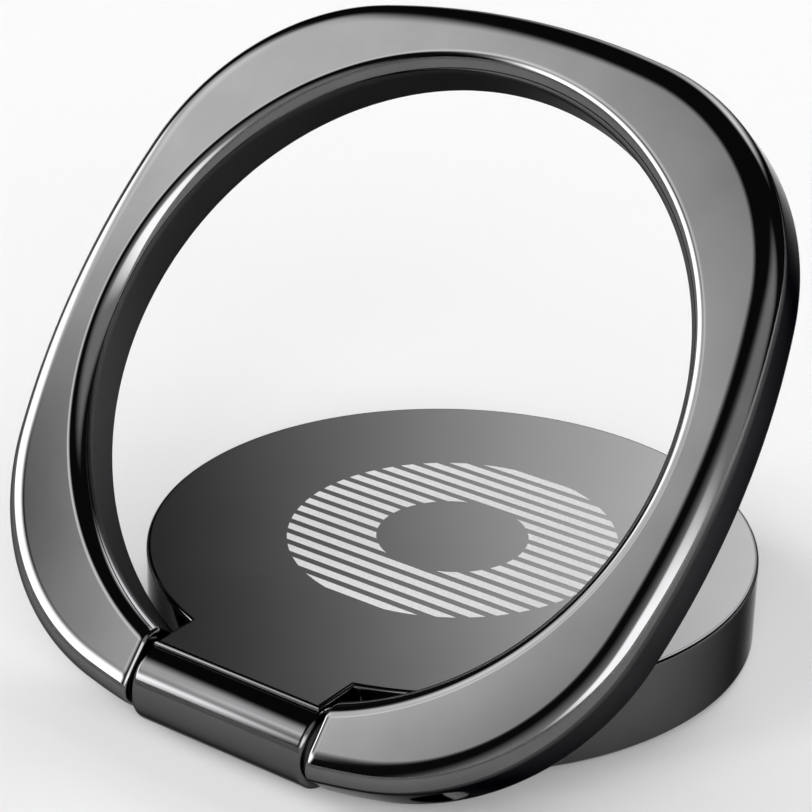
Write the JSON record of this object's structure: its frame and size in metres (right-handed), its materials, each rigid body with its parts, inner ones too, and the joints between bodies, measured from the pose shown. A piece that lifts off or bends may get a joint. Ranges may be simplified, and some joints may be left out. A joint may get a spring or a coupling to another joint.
{
  "type": "finger-ring phone stand",
  "caption": "Finger-ring phone stand: a rounded-square plated metal ring hinged on the barrel of a round stick-on base, to prop a phone up or hold it by a finger.",
  "frame": {"origin": "middle of the adhesive face, which sits on the back of a phone", "axes": "+Z out of the base's flat top, X along the hinge axis, -Y from the base towards the hinge"},
  "size_m": [0.044, 0.0401, 0.0353],
  "materials": {
    "satin_plating": "black-nickel plating on zinc, satin on the flat top and polished on the rim and barrel",
    "polished_plating": "mirror-polished black-nickel plating on zinc",
    "pin_steel": "ground steel",
    "spring_steel": "rolled spring steel",
    "washer_plastic": "black nylon",
    "adhesive_foam": "dark acrylic foam tape"
  },
  "bodies": {
    "stand_base": {"base": "satin_plating", "friction_sleeve": "spring_steel", "washer_left": "washer_plastic", "washer_right": "washer_plastic", "adhesive_pad": "adhesive_foam"},
    "swing_ring": {"ring": "polished_plating", "hinge_pin": "pin_steel"}
  },
  "joints": [
    {"name": "ring_hinge", "type": "hinge", "parent": "stand_base", "child": "swing_ring", "pos_m": [0, -0.0197, 0.0026], "axis": [1, 0, 0], "range_deg": [-49.4, 130.6]}
  ]
}
